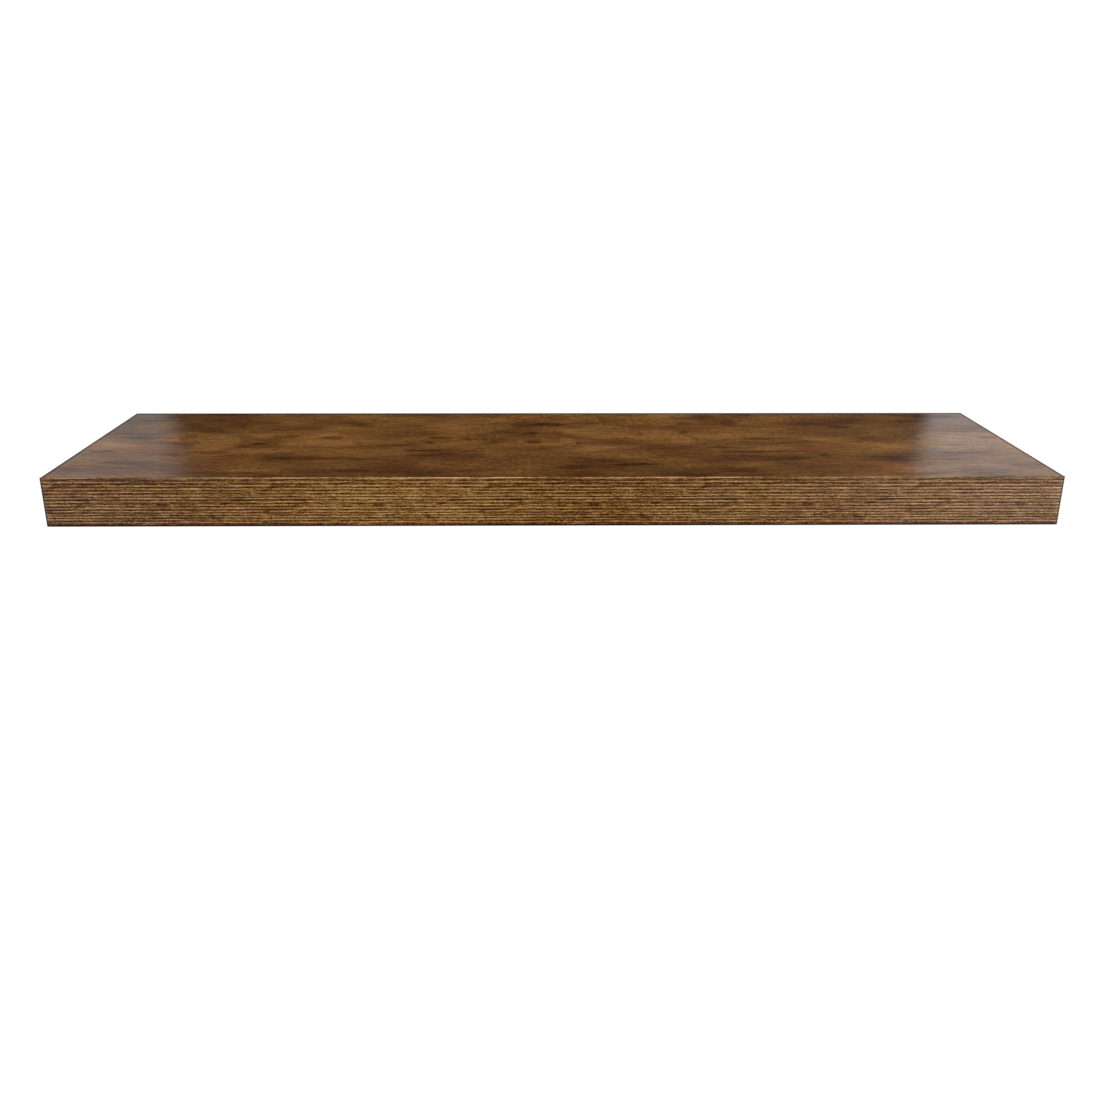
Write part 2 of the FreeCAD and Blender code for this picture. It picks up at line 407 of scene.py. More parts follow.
# Stains of the print in millimetres: distance from the left end and from the back edge, half of
# the length, half of the width, strength.
DARK_STAINS = (
    (50, 108, 24, 7, 0.45), (88, 107, 10, 15, 0.55), (108, 83, 15, 7, 0.4), (142, 45, 30, 12, 0.5),
    (163, 132, 8, 5, 0.75), (184, 104, 17, 8, 0.55), (231, 108, 12, 8, 0.65), (258, 129, 6, 6, 0.5),
    (294, 138, 18, 4, 0.6), (122, 163, 20, 5, 0.4), (232, 186, 42, 4, 0.6), (275, 189, 26, 4, 0.6),
    (155, 235, 32, 6, 0.5), (270, 229, 18, 7, 0.4), (337, 109, 12, 5, 0.7), (330, 126, 5, 4, 0.7),
    (364, 115, 7, 7, 0.55), (330, 158, 26, 4, 0.8), (370, 162, 10, 4, 0.7), (388, 129, 8, 5, 0.45),
    (445, 53, 24, 8, 0.75), (402, 50, 24, 8, 0.45), (484, 48, 20, 5, 0.45), (458, 22, 13, 14, 0.5),
    (428, 90, 7, 8, 0.6), (431, 124, 8, 10, 0.75), (454, 89, 5, 6, 0.55), (475, 132, 3, 6, 0.7),
    (504, 28, 4, 13, 0.5), (538, 95, 4, 10, 0.5), (588, 50, 10, 8, 0.55), (584, 86, 5, 11, 0.5),
    (522, 208, 25, 4, 0.75), (465, 218, 16, 7, 0.65), (380, 228, 25, 6, 0.45),
    (612, 148, 17, 4, 0.7), (636, 164, 30, 3.4, 0.85), (676, 161, 22, 3, 0.6),
    (655, 113, 20, 5, 0.7), (635, 46, 9, 17, 0.6), (616, 30, 14, 22, 0.4), (747, 66, 12, 7, 0.7),
    (705, 177, 6, 8, 0.55), (680, 186, 14, 5, 0.55), (770, 194, 24, 4, 0.55),
    (812, 190, 22, 3, 0.55), (885, 110, 9, 4, 0.65), (830, 38, 24, 9, 0.5),
    (618, 228, 18, 10, 0.55), (345, 182, 50, 12, 0.3), (812, 114, 6, 7, 0.45),
    (775, 240, 34, 4, 0.45), (862, 16, 24, 8, 0.45), (886, 214, 20, 10, 0.3), (20, 160, 14, 3, 0.7),
    (70, 130, 40, 8, 0.38), (36, 34, 30, 5, 0.5), (24, 92, 22, 3, 0.3), (60, 200, 34, 8, 0.4),
    (862, 84, 16, 2.5, 0.5), (842, 168, 26, 3, 0.4), (45, 107, 26, 3, 0.4), (93, 171, 14, 8, 0.45),
)
LIGHT_STAINS = (
    (122, 132, 24, 30, 0.9), (168, 158, 34, 14, 1.0), (205, 128, 26, 14, 0.7),
    (372, 62, 34, 34, 0.5), (500, 84, 38, 32, 0.7), (464, 120, 9, 14, 0.8), (577, 118, 14, 18, 0.8),
    (608, 100, 22, 18, 0.5), (500, 30, 9, 8, 0.5), (640, 78, 30, 12, 0.5), (712, 110, 18, 14, 0.5),
    (790, 92, 26, 22, 0.6), (735, 165, 34, 14, 0.5), (270, 160, 30, 12, 0.4),
    (420, 18, 16, 12, 0.4), (545, 100, 30, 20, 0.5), (846, 122, 40, 46, 0.9),
    (884, 118, 22, 40, 0.7), (75, 105, 30, 22, 0.7), (42, 72, 20, 14, 0.5), (360, 42, 60, 30, 0.5),
    (310, 30, 34, 18, 0.4), (44, 86, 24, 3, 0.8), (44, 134, 36, 9, 0.8),
)

wood_print, print_in, print_out = new_group(
    "wood_print",
    [("Vector", "Vector")],
    [("Color", "Color"), ("Height", "Float"), ("Stains", "Float")],
)
tree = wood_print
print_place = print_in.outputs[0]
print_corner = (-half_length, 0)
loose_place = ragged(tree, print_place, 0.028, (0.014, 0.008, 0))
fine_place = ragged(tree, print_place, 0.007, (0.005, 0.0025, 0))

# Ground colour in patches, some redder and some greener
patches = cloud(tree, loose_place, (0.085, 0.04, 1), 3.0, 0.5)
streaks = cloud(tree, fine_place, (0.034, 0.0045, 1), 4.0, 0.6, (3, 6, 0))
print_colour = ramp(
    tree,
    maths(tree, "ADD", patches, centred(tree, streaks, 0.54)),
    (
        (0.24, paint(77, 49, 19)),
        (0.42, paint(113, 76, 36)),
        (0.58, paint(134, 93, 46)),
        (0.78, paint(163, 118, 61)),
    ),
)
redder = cloud(tree, loose_place, (0.07, 0.04, 1), 3.0, 0.5, (7, 3, 0))
print_colour = tinted(tree, print_colour, fade(tree, redder, 0.48, 0.7), paint(255, 235, 226))
greener = cloud(tree, loose_place, (0.08, 0.05, 1), 3.0, 0.5, (1, 9, 0))
print_colour = tinted(tree, print_colour, fade(tree, greener, 0.5, 0.7), paint(246, 255, 226))

# Golden patches, paler at the right end
light_tear = centred(tree, streaks, 1.6)
light_mask = stains(tree, loose_place, light_tear, LIGHT_STAINS, print_corner)
gold_share = times(tree, light_mask, fade(tree, streaks, 0.25, 0.6, 0.2, 0.62))
across = node(tree, "SeparateXYZ", {0: print_place}).outputs["X"]
gold = blend(tree, fade(tree, across, 0.33, 0.41), paint(162, 115, 61), paint(166, 132, 96))
print_colour = blend(tree, gold_share, print_colour, gold)

# Dark dashes, long and short, in some zones of the print, and the larger stains
long_field = cloud(tree, fine_place, (0.028, 0.0036, 1), 3.0, 0.6)
long_zones = cloud(tree, print_place, (0.07, 0.035, 1), 2.0, 0.5, (4, 4, 0))
long_dashes = times(tree, fade(tree, long_field, 0.61, 0.66), fade(tree, long_zones, 0.42, 0.62))
short_field = cloud(tree, fine_place, (0.013, 0.0018, 1), 2.0, 0.55, (9, 2, 0))
short_zones = cloud(tree, print_place, (0.05, 0.03, 1), 2.0, 0.5, (8, 1, 0))
short_dashes = times(tree, fade(tree, short_field, 0.61, 0.66), fade(tree, short_zones, 0.42, 0.58))
dashes = maths(tree, "MAXIMUM", long_dashes, times(tree, short_dashes, 0.8))
dark_tear = centred(tree, cloud(tree, print_place, (0.016, 0.0024, 1), 4.0, 0.65), 2.2)
dark_stains = stains(tree, fine_place, dark_tear, DARK_STAINS, print_corner)
dark_mask = maths(tree, "MAXIMUM", times(tree, dashes, 0.75), dark_stains)
print_colour = tinted(tree, print_colour, dark_mask, paint(156, 136, 106))

# Fine grain and speckle
grain = cloud(tree, fine_place, (0.03, 0.0009, 1), 2.0, 0.6)
print_colour = tinted(tree, print_colour, fade(tree, grain, 0.4, 0.6), paint(220, 212, 203))
speckle = cloud(tree, print_place, (0.0044, 0.0036, 1), 3.0, 0.6)
print_colour = tinted(tree, print_colour, fade(tree, speckle, 0.42, 0.6), paint(208, 197, 180))
pores = maths(tree, "SUBTRACT", times(tree, grain, 0.5), dashes)
for name, value in (("Color", print_colour), ("Height", pores), ("Stains", dark_stains)):
    tree.links.new(value, print_out.inputs[name])


def foil_material(name, turned_over):
    """The print under a satin lacquer, thin in streaks, with a dark glue line at the front and
    painted shade along the back and the ends.
    """
    material, tree = new_material(name)
    place = own_place(tree)
    roll_place = place
    if turned_over:
        turn = {"Vector": place, "Location": (0.37, -0.31, 0), "Rotation": (0, 0, math.pi)}
        roll_place = node(tree, "Mapping", turn).outputs[0]
    printed = use_group(tree, wood_print, {"Vector": roll_place})
    place_parts = node(tree, "SeparateXYZ", {0: place}).outputs
    across, from_back = place_parts["X"], place_parts["Y"]
    to_end = maths(tree, "SUBTRACT", foil_end, maths(tree, "ABSOLUTE", across))

    # Darker along the front, though less towards both ends, in both back corners and
    # over the whole left end
    front = fade(tree, from_back, -0.115, -0.25)
    front = times(tree, front, fade(tree, across, 0.14, 0.34, 1.0, 0.15))
    front = times(tree, front, fade(tree, across, -0.3, -0.41, 1.0, 0.4))
    colour = tinted(tree, printed["Color"], front, paint(208, 202, 196))
    back = fade(tree, from_back, -0.125, -0.07)
    back_left = times(tree, back, fade(tree, across, -0.26, -0.36))
    colour = tinted(tree, colour, back_left, paint(208, 206, 206))
    left_end = fade(tree, across, -0.37, -0.43)
    colour = tinted(tree, colour, left_end, paint(246, 243, 236))
    back_right = times(tree, back, fade(tree, across, 0.16, 0.3))
    colour = tinted(tree, colour, back_right, paint(232, 230, 228))

    # A dark glue line along the front, and painted shade along the back and the ends, a few
    # millimetres wide
    wobble = times(tree, cloud(tree, place, (0.004, 0.004, 1), 3.0, 0.7), 0.004)
    uneven = maths(tree, "ADD", from_back, wobble)
    front_line = fade(tree, uneven, foil_front + 0.005, foil_front + 0.002)
    colour = tinted(tree, colour, front_line, paint(184, 168, 140))
    painted_back_shade = fade(tree, from_back, -0.0054, -0.0030)
    colour = tinted(tree, colour, painted_back_shade, paint(74, 64, 52))
    painted_end_shade = fade(tree, to_end, 0.0026, 0.0012)
    colour = tinted(tree, colour, painted_end_shade, paint(112, 106, 100))

    # The lacquer is thin in streaks and patches, on stains, and along the back and the ends
    thin_streaks = cloud(tree, place, (0.026, 0.008, 1), 4.0, 0.65, (2, 9, 4))
    thin_patches = cloud(tree, place, (0.05, 0.025, 1), 3.0, 0.55, (6, 1, 4))
    lacquer = noise_sum(tree, 0.66, ((thin_streaks, 1.25), (thin_patches, 0.7)), clamp=True)
    lacquer = times(tree, lacquer, fade(tree, printed["Stains"], 0.0, 0.8, 1.0, 0.5))
    lacquer = times(tree, lacquer, fade(tree, to_end, 0.0010, 0.0028))
    lacquer = times(tree, lacquer, fade(tree, from_back, -0.0038, -0.006))
    pored = relief(tree, printed["Height"], 0.2, 0.0001)
    set_surface(
        tree,
        {
            "Base Color": colour,
            "Roughness": 0.45,
            "Specular IOR Level": 0.15,
            "Normal": pored,
            "Coat Weight": lacquer,
            "Coat Roughness": 0.32,
            "Coat Normal": pored,
        },
    )
    return material


def dress(names, material):
    """Gives CAD nodes a material."""
    for name in names:
        mesh = cad_nodes[name].data
        mesh.materials.clear()
        mesh.materials.append(material)


dress(["top_foil"], foil_material("printed_foil_top", False))
dress(["bottom_foil"], foil_material("printed_foil_bottom", True))


# Front and end edging
# Embossed plastic strip, glued to the front and to both ends. Ribs run along it, pressed unevenly,
# and its print has dark dashes in the grooves, partly painted shade, and repeats with every turn of
# the printing roller. Light lines on the crests and along the upper rounding are painted
# highlights.

edge_round = 0.001
half_thickness = 0.0225
board_depth = 0.25
groove_mouth = 0.0013
groove_depth = 0.00025
crest_half_width = 0.0006
clearance = 0.0001
wander = 0.00016
round_steps = 5
front_columns = 430
end_columns = 118
# Middle of each groove and of each crest with its painted highlight, in millimetres down from the
# upper edge
GROOVES = (2.6, 5.5, 8.6, 11.7, 14.4, 17.6, 20.2, 23.5, 26.3, 29.4, 32.0, 34.6, 36.9, 39.6, 42.3)
CRESTS = (4.0, 7.3, 10.2, 13.1, 16.4, 18.9, 21.8, 25.0, 27.6, 30.9, 33.3, 35.8, 38.3, 41.0)
groove_heights = [half_thickness - down / 1000 for down in GROOVES]
crest_heights = [half_thickness - down / 1000 for down in CRESTS]
flat_width = edging_thickness - edge_round
face_end = half_thickness - edge_round


def near(height, middles, half_width, slope):
    """1 well within half_width of one of the middles, falling to 0 there over the slope."""
    distance = min(abs(height - middle) for middle in middles)
    return min(1.0, max(0.0, (half_width - distance) / slope))


def pressed(run, height):
    """How deep the roller pressed a groove there, as a share of its full depth."""
    return min(1.0, max(0.25, 0.75 + 0.6 * noise.noise(Vector((run * 45, height * 900, 3.1)))))


def strip_rows():
    """(out, height) of the rows of the strip's outer side, from its lower to its upper edge."""
    corner = []
    for step in range(round_steps + 1):
        angle = math.radians(90) * step / round_steps
        corner.append(
            (flat_width + edge_round * math.sin(angle), face_end + edge_round * math.cos(angle))
        )
    half_mouth = groove_mouth / 2
    half_floor = half_mouth - groove_depth
    heights = set()
    for middle in groove_heights:
        for shift in (-half_mouth, -half_floor, 0, half_floor, half_mouth):
            heights.add(round(middle + shift, 6))
    for middle in crest_heights:
        for shift in (-crest_half_width, 0, crest_half_width):
            if near(middle + shift, groove_heights, half_mouth + clearance, clearance) == 0:
                heights.add(round(middle + shift, 6))
    face = [(edging_thickness, height) for height in sorted(heights) if abs(height) < face_end]
    return [(out, -height) for out, height in corner] + face + corner[::-1]


def shade_smooth(piece, sharp_angle):
    """Smooth shading, but for edges that turn by more than sharp_angle degrees."""
    piece.data.shade_smooth()
    piece.data.set_sharp_from_angle(angle=math.radians(sharp_angle))


def make_edging(name, length, columns, run_start, place, round_ends):
    """A ribbed strip. place turns (run, out, height) into a point of the shelf."""
    rows = strip_rows()
    shape = bmesh.new()
    bmesh.ops.create_grid(shape, x_segments=columns, y_segments=len(rows) - 1, size=0.5)
    strip = shape.verts.layers.float_vector.new("strip")
    crest_highlight = shape.verts.layers.float.new("crest_highlight")
    for vert in shape.verts:
        out, height = rows[round((vert.co.y + 0.5) * (len(rows) - 1))]
        run = run_start + length * (vert.co.x + 0.5)
        groove = near(height, groove_heights, groove_mouth / 2, groove_depth)
        groove *= pressed(run, height)
        vert[crest_highlight] = near(height, crest_heights, crest_half_width, crest_half_width / 2)
        # The upper rounding gets the painted crest highlight all along
        if height > face_end:
            vert[crest_highlight] = 1.0
        out -= groove_depth * groove
        if round_ends:
            beyond = min(edge_round, max(0.0, abs(run) - (half_length - edge_round)))
            out = min(out, flat_width + math.sqrt(edge_round**2 - beyond**2))
        if abs(height) < half_thickness - 2 * edge_round:
            height += wander * noise.noise(Vector((run * 40, height * 160, 7.7)))
        vert[strip] = (run, height, groove)
        vert.co = place(run, out, height)
    outer_border = [edge for edge in shape.edges if edge.is_boundary]
    walls = bmesh.ops.extrude_edge_only(shape, edges=outer_border)["geom"]
    for vert in walls:
        if isinstance(vert, bmesh.types.BMVert):
            run, height, groove = vert[strip]
            vert.co = place(run, 0.0, height)
    inner_border = [edge for edge in shape.edges if edge.is_boundary]
    bmesh.ops.holes_fill(shape, edges=inner_border, sides=0)
    bmesh.ops.recalc_face_normals(shape, faces=shape.faces)
    piece = new_piece(f"{name}_ribbed", shape, edging_material)
    shade_smooth(piece, 50)
    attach(piece, "shelf_board")
    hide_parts(name)


edging_material, tree = new_material("ribbed_edging")
strip_place = node(tree, "Attribute", attribute_name="strip").outputs["Vector"]
crest_highlight = node(tree, "Attribute", attribute_name="crest_highlight").outputs["Fac"]
strip_parts = node(tree, "SeparateXYZ", {0: strip_place}).outputs
run, height, groove = strip_parts["X"], strip_parts["Y"], strip_parts["Z"]

# The printing roller: the strip's length is wound round a circle, so the print repeats
roller_turn = 0.19
roller_radius = roller_turn / (2 * math.pi)
angle = maths(tree, "DIVIDE", run, roller_radius)
roller_x = times(tree, maths(tree, "COSINE", angle), roller_radius)
roller_y = times(tree, maths(tree, "SINE", angle), roller_radius)
roller = node(tree, "CombineXYZ", {0: roller_x, 1: roller_y, 2: height}).outputs[0]
loose_roller = ragged(tree, roller, 0.006, (0.003, 0.003, 0.0005))
ticks = cloud(tree, loose_roller, (0.0018, 0.0018, 0.00045), 2.0, 0.6)
dashes = cloud(tree, loose_roller, (0.010, 0.010, 0.00062), 2.0, 0.55, (8, 8, 8))
lines = cloud(tree, roller, (0.040, 0.040, 0.00062), 2.0, 0.5, (3, 5, 9))
clouds = cloud(tree, loose_roller, (0.022, 0.022, 0.014), 3.0, 0.55, (1, 2, 3))
flecks = cloud(tree, loose_roller, (0.0036, 0.0036, 0.0008), 1.0, 0.5, (4, 7, 1))
flecks = fade(tree, flecks, 0.58, 0.66)

# Stains of the roller in millimetres: along its turn, down from the upper edge, half of the
# length, half of the width, strength. The last five make an arch of heartwood.
ROLLER_STAINS = (
    (16, 7.5, 12, 2.2, 0.8), (33, 20.5, 8, 1.6, 0.9), (68, 4.5, 10, 1.4, 0.7),
    (104, 25.3, 11, 1.5, 1.0), (94, 33, 11, 4.0, 0.5), (120, 35, 13, 2.2, 0.9),
    (150, 36, 7, 1.4, 0.9), (143, 30.5, 9, 1.8, 0.6), (157, 23.6, 5, 1.2, 0.9),
    (162, 21.6, 5, 1.2, 0.9), (169, 20.4, 6, 1.2, 1.0), (176, 21.6, 5, 1.2, 0.9),
    (181, 23.6, 5, 1.2, 0.8),
)
from_left = maths(tree, "ADD", run, half_length)
wrapped = node(tree, "Math", {0: from_left, 1: roller_turn, 2: 0.0}, operation="WRAP").outputs[0]
turn_place = node(tree, "CombineXYZ", {0: wrapped, 1: height, 2: 0.0}).outputs[0]
roller_tear = centred(tree, dashes, 2.4)
roller_stains = stains(tree, turn_place, roller_tear, ROLLER_STAINS, (0, half_thickness))

# Dark dashes in the grooves, partly print and partly painted shade, and painted highlights on the
# crests, both broken along the run
contrast = fade(tree, clouds, 0.36, 0.64, 0.8, 1.2)
broken_groove = times(tree, groove, fade(tree, dashes, 0.62, 0.42, 0.3, 1.0))
broken_groove = times(tree, broken_groove, contrast)
broken_crest_highlight = times(tree, crest_highlight, fade(tree, lines, 0.35, 0.52, 0.45, 1.0))
broken_crest_highlight = times(tree, broken_crest_highlight, contrast)

# Lighter and more golden a third of the way along, and darker at the left end
to_gold = maths(tree, "ABSOLUTE", maths(tree, "ADD", run, 0.14))
gold = fade(tree, to_gold, 0.13, 0.02)
left_end = fade(tree, run, -0.32, -0.37)
tone = noise_sum(tree, 0.5, ((ticks, 1.6), (dashes, 1.05), (lines, 0.95), (clouds, 0.06)))
MARKS = (
    (broken_groove, -0.45),
    (broken_crest_highlight, 0.4),
    (flecks, -0.22),
    (roller_stains, -0.15),
    (gold, 0.12),
    (left_end, -0.05),
)
for part, strength in MARKS:
    tone = maths(tree, "ADD", times(tree, part, strength), tone)
# The contrast falls off towards the right end
paler = maths(tree, "SUBTRACT", tone, 0.5)
paler = times(tree, paler, fade(tree, run, 0.1, 0.42, 1.0, 0.76))
tone = maths(tree, "ADD", paler, 0.5)
edging_colour = ramp(
    tree,
    tone,
    (
        (0.05, paint(42, 16, 0)),
        (0.30, paint(73, 41, 2)),
        (0.50, paint(99, 64, 16)),
        (0.72, paint(130, 95, 44)),
        (1.00, paint(173, 137, 87)),
    ),
)
# Some stretches are redder, and so is a line above the lower edge
hue = cloud(tree, strip_place, (0.15, 0.02, 1), 2.0, 0.5, (5, 1, 0))
edging_colour = tinted(tree, edging_colour, fade(tree, hue, 0.45, 0.65), paint(255, 242, 240))
above_bottom = fade(tree, height, -0.0215, -0.0205)
red_line = times(tree, fade(tree, height, -0.0175, -0.0190), above_bottom)
red_line = times(tree, red_line, fade(tree, clouds, 0.35, 0.6))
edging_colour = tinted(tree, edging_colour, red_line, paint(252, 224, 224))

# Painted shade on the lower rounding, at the board's corners and on the end strips' tops, and
# painted shade over the upper rounding's highlight, more so towards both ends
run_length = maths(tree, "ABSOLUTE", run)
to_corner = maths(tree, "ABSOLUTE", maths(tree, "SUBTRACT", run_length, half_length))
on_end = maths(tree, "GREATER_THAN", run_length, half_length + clearance)
painted_bottom_shade = fade(tree, height, -0.0203, -0.0210)
edging_colour = tinted(tree, edging_colour, painted_bottom_shade, paint(78, 60, 46))
painted_corner_shade = maths(tree, "ADD", to_corner, times(tree, on_end, 0.0009))
painted_corner_shade = fade(tree, painted_corner_shade, 0.0018, 0.0009)
edging_colour = tinted(tree, edging_colour, painted_corner_shade, paint(66, 54, 46))
painted_top_shade = fade(tree, run_length, 0.12, 0.36, 0.3, 1.0)
painted_top_shade = times(tree, painted_top_shade, fade(tree, height, 0.0206, 0.0213))
edging_colour = tinted(tree, edging_colour, painted_top_shade, paint(208, 206, 214))
painted_end_top_shade = times(tree, fade(tree, height, 0.0212, 0.0219), on_end)
edging_colour = tinted(tree, edging_colour, painted_end_top_shade, paint(56, 50, 46))

# Less gloss where the print is dark, and none at the board's corners, on the end strips' tops
# or on the lower rounding, so that their painted shade stays dark
gloss = fade(tree, tone, 0.25, 0.8, 0.1, 0.85)
gloss = times(tree, gloss, fade(tree, to_corner, 0.0008, 0.0022))
gloss = times(tree, gloss, maths(tree, "SUBTRACT", 1.0, painted_end_top_shade))
gloss = times(tree, gloss, maths(tree, "SUBTRACT", 1.0, painted_bottom_shade))
embossed = relief(tree, ticks, 0.25, 0.00012)
set_surface(
    tree,
    {
        "Base Color": edging_colour,
        "Roughness": fade(tree, ticks, 0.3, 0.7, 0.28, 0.36),
        "Specular IOR Level": 0.12,
        "Normal": embossed,
        "Coat Weight": gloss,
        "Coat Roughness": 0.24,
        "Coat Normal": embossed,
    },
)

make_edging(
    "front_edging",
    2 * half_length,
    front_columns,
    -half_length,
    lambda run, out, height: Vector((run, edging_thickness - board_depth - out, height)),
    True,
)
# The end strips' runs go on from the front strip's, round the board's corners
end_reach = board_depth - edging_thickness
frame_end = half_length - edging_thickness
make_edging(
    "left_edging",
    -end_reach,
    end_columns,
    -half_length,
    lambda run, out, height: Vector((-frame_end - out, -run - half_length - end_reach, height)),
    False,
)
make_edging(
    "right_edging",
    end_reach,
    end_columns,
    half_length,
    lambda run, out, height: Vector((frame_end + out, run - half_length - end_reach, height)),
    False,
)


# Panels
# Fibreboard, 2.8 mm thick, above and below the frame. It is pressed from brown felted fibres and
# sawn, and shows bare only at the board's back and round the two inserts.


def off_middle(tree, place):
    """How far above or below the middle of the board's thickness a place lies."""
    return maths(tree, "ABSOLUTE", node(tree, "SeparateXYZ", {0: place}).outputs["Z"])


fibreboard, tree = new_material("fibreboard")
place = own_place(tree)
loose_place = ragged(tree, place, 0.003, (0.0022, 0.0022, 0.0005))
felt = cloud(tree, loose_place, (0.0032, 0.0011, 0.0005), 4.0, 0.65)
crossed = cloud(tree, loose_place, (0.0009, 0.0036, 0.0005), 4.0, 0.65, (5, 2, 1))
blotches = cloud(tree, place, (0.03, 0.03, 0.004), 2.0, 0.5, (2, 7, 3))
tone = noise_sum(tree, 0.5, ((felt, 0.9), (crossed, 0.8), (blotches, 0.5)))
board_colour = ramp(
    tree,
    tone,
    ((0.25, paint(104, 74, 46)), (0.5, paint(146, 112, 75)), (0.78, paint(178, 144, 104))),
)
# The pressed skins of each panel are denser and darker
level = off_middle(tree, place)
inner_skin = fade(tree, level, 0.0200, 0.0195)
outer_skin = fade(tree, level, 0.0218, 0.0223)
skins = maths(tree, "MAXIMUM", inner_skin, outer_skin)
board_colour = tinted(tree, board_colour, skins, paint(206, 196, 184))
set_surface(
    tree,
    {
        "Base Color": board_colour,
        "Roughness": fade(tree, felt, 0.3, 0.7, 0.72, 0.9),
        "Normal": relief(tree, tone, 0.35, 0.0002),
    },
)
dress(["top_panel", "bottom_panel"], fibreboard)


# Frame
# Rails, end rails and rod blocks of particleboard: pressed chips of pale wood, coarse in the
# middle and finer near the pressed faces, sawn to size, milled and glued between the panels.


def chips(tree, place, size):
    """The tint of each chip, from 0 to 1, and how far a point is from the chip's edge."""
    scale = tuple(1 / length for length in size)
    moved = node(tree, "Mapping", {"Vector": place, "Scale": scale}).outputs[0]
    inputs = {"Vector": moved, "Scale": 1.0}
    colour = node(tree, "TexVoronoi", inputs).outputs["Color"]
    edges = node(tree, "TexVoronoi", inputs, feature="DISTANCE_TO_EDGE")
    tint = node(tree, "SeparateXYZ", {0: colour}).outputs["X"]
    return tint, edges.outputs["Distance"]


particleboard, tree = new_material("particleboard")
place = own_place(tree)
loose_place = ragged(tree, place, 0.006, (0.003, 0.003, 0.0012))
coarse_tint, coarse_edge = chips(tree, loose_place, (0.0075, 0.0055, 0.0016))
fine_tint, fine_edge = chips(tree, loose_place, (0.0024, 0.0019, 0.0006))
fine_share = fade(tree, off_middle(tree, place), 0.0145, 0.0165, 0.15, 1.0)
tint = node(tree, "Mix", {0: fine_share, 2: coarse_tint, 3: fine_tint}).outputs[0]
edge = node(tree, "Mix", {0: fine_share, 2: coarse_edge, 3: fine_edge}).outputs[0]
wood_fibre = cloud(tree, loose_place, (0.0045, 0.0007, 0.0005), 3.0, 0.6)
tone = maths(tree, "ADD", times(tree, tint, 0.75), centred(tree, wood_fibre, 0.7))
chip_colour = ramp(
    tree,
    tone,
    (
        (0.08, paint(116, 82, 48)),
        (0.3, paint(164, 126, 82)),
        (0.55, paint(196, 158, 110)),
        (0.8, paint(220, 186, 140)),
    ),
)
gaps = fade(tree, edge, 0.07, 0.015)
chip_colour = tinted(tree, chip_colour, times(tree, gaps, 0.75), paint(140, 116, 92))
pits = maths(tree, "SUBTRACT", times(tree, tone, 0.5), gaps)
set_surface(
    tree,
    {
        "Base Color": chip_colour,
        "Roughness": fade(tree, tint, 0.1, 0.9, 0.68, 0.86),
        "Normal": relief(tree, pits, 0.4, 0.0003),
    },
)
dress(["front_rail", "back_rail", "left_end_rail", "right_end_rail"], particleboard)
dress(["left_rod_block", "middle_rod_block", "right_rod_block"], particleboard)


# Honeycomb cores
# Kraft paper strips, glued flat to flat and pulled open into six-sided cells that fill the bays.
# The paper is mottled with fibres, and dark where it stands in the glue of both panels.

glue_start, glue_end = 0.0172, 0.0184
kraft, tree = new_material("kraft_honeycomb")
place = own_place(tree)
loose_place = ragged(tree, place, 0.003, (0.002, 0.002, 0.002))
pulp = cloud(tree, loose_place, (0.0016, 0.0016, 0.0028), 4.0, 0.65)
hairs = cloud(tree, place, (0.0006, 0.0006, 0.006), 2.0, 0.6, (1, 4, 2))
tone = maths(tree, "ADD", pulp, centred(tree, hairs, 0.6))
paper_colour = ramp(
    tree,
    tone,
    ((0.25, paint(128, 94, 58)), (0.5, paint(168, 130, 86)), (0.75, paint(196, 160, 114))),
)
glue_line = maths(tree, "ADD", off_middle(tree, place), centred(tree, pulp, 0.004))
glued = fade(tree, glue_line, glue_start, glue_end)
paper_colour = tinted(tree, paper_colour, glued, paint(176, 152, 122))
set_surface(
    tree,
    {
        "Base Color": paper_colour,
        "Roughness": fade(tree, glue_line, glue_start, glue_end, 0.86, 0.5),
        "Normal": relief(tree, tone, 0.3, 0.0002),
    },
)
dress(["left_end_core", "left_core", "right_core", "right_end_core"], kraft)


# Bracket plate and rods
# Steel, cut, drilled, welded and powder-coated black as one. The coat has an orange-peel skin with
# a fine sparkle and a little dust, and the board's bores rub it along the rods.

# Rubbed is how much bare steel shows through the scratches
powder_coat, coat_in, coat_out = new_group(
    "powder_coat",
    [("Vector", "Vector"), ("Rubbed", "Float")],
    [("Color", "Color"), ("Metal", "Float"), ("Roughness", "Float"), ("Height", "Float")],
)
tree = powder_coat
place = coat_in.outputs["Vector"]
peel = cloud(tree, place, (0.0016, 0.0016, 0.0016), 2.0, 0.45)
grit = cloud(tree, place, (0.00035, 0.00035, 0.00035), 2.0, 0.6, (4, 1, 8))
dust = cloud(tree, place, (0.05, 0.05, 0.05), 3.0, 0.6, (2, 2, 5))
coat = ramp(
    tree,
    maths(tree, "ADD", grit, centred(tree, dust, 0.9)),
    ((0.25, paint(22, 22, 23)), (0.6, paint(36, 36, 37)), (0.85, paint(74, 73, 72))),
)
scratches = cloud(tree, place, (0.00045, 0.03, 0.00045), 3.0, 0.7, (6, 3, 1))
bare = times(tree, fade(tree, scratches, 0.58, 0.66), coat_in.outputs["Rubbed"])
COAT = (
    ("Color", blend(tree, bare, coat, paint(122, 120, 116))),
    ("Metal", times(tree, bare, 0.8)),
    ("Roughness", fade(tree, dust, 0.3, 0.7, 0.42, 0.55)),
    ("Height", maths(tree, "ADD", peel, times(tree, grit, 0.25))),
)
for name, value in COAT:
    tree.links.new(value, coat_out.inputs[name])


